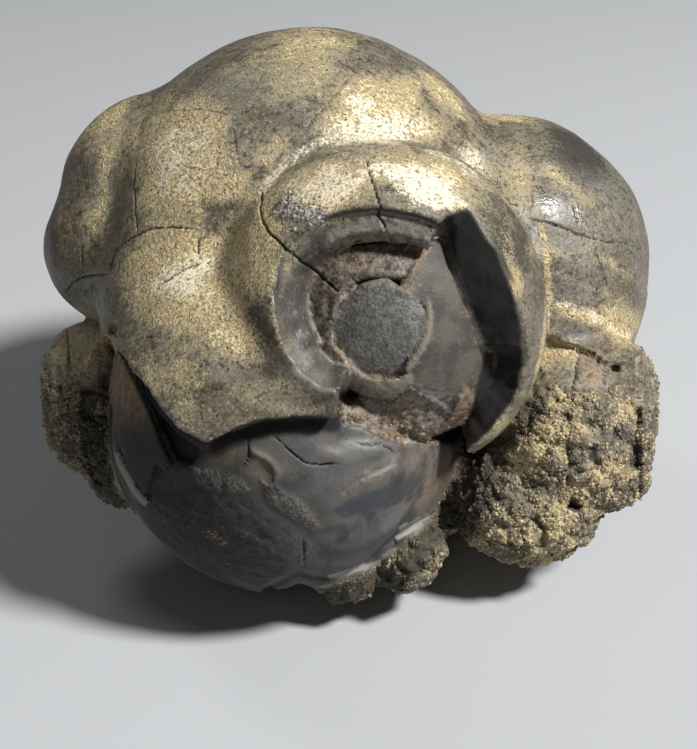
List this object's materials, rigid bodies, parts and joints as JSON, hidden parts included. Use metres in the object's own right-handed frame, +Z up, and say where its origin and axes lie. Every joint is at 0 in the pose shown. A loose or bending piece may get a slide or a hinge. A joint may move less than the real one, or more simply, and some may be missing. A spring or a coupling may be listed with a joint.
{
  "type": "manganese nodule",
  "caption": "Manganese nodule grown as a cluster of round lobes, with a round break in the front lobe that shows its growth rings and core.",
  "frame": {"origin": "on the flat spot that the nodule rests on, at the middle of its box seen from above", "axes": "+Z up; -Y to the front, the side with the broken lobe; +X to the right seen from the front"},
  "size_m": [0.0907, 0.0808, 0.0744],
  "materials": {
    "manganese_oxide": "dark grey-brown oxide skin, matt to satin, dusted with tan sediment; smooth satin grey-black where the skin is lost; rough and knobbly low down"
  },
  "bodies": {
    "root": {"nodule": "manganese_oxide"}
  },
  "joints": []
}
